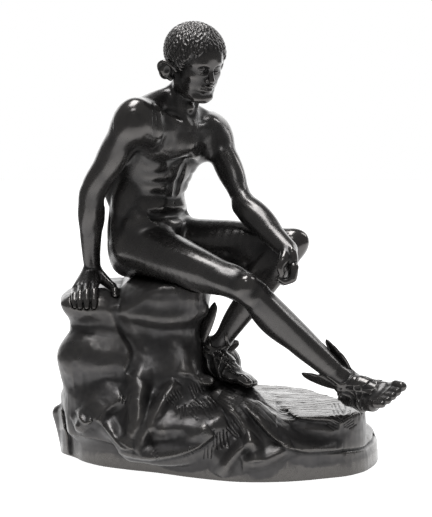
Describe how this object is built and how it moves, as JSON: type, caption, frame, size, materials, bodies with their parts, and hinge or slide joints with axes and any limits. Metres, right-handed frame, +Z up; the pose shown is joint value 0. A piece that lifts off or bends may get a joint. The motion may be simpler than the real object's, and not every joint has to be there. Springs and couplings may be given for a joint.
{
  "type": "bronze statuette of a seated youth",
  "caption": "Small dark bronze figure of a nude youth with winged sandals, seated on a rock over a flat-bottomed base, one hand propped on the rock and the other resting on the thigh.",
  "frame": {"origin": "centre of the flat underside of the base", "axes": "+Z up through the seated figure, +X towards the stretched right foot, -Y towards the viewer of the front"},
  "size_m": [0.2279, 0.1523, 0.2867],
  "materials": {
    "figure": "cast bronze, nearly black brown patina, waxed and glossy, brown where handling has rubbed it",
    "rock_base": "cast bronze, nearly black patina, satin, brighter on the edges of the folds"
  },
  "bodies": {
    "root": {"figure": "figure", "rock_base": "rock_base"}
  },
  "joints": []
}
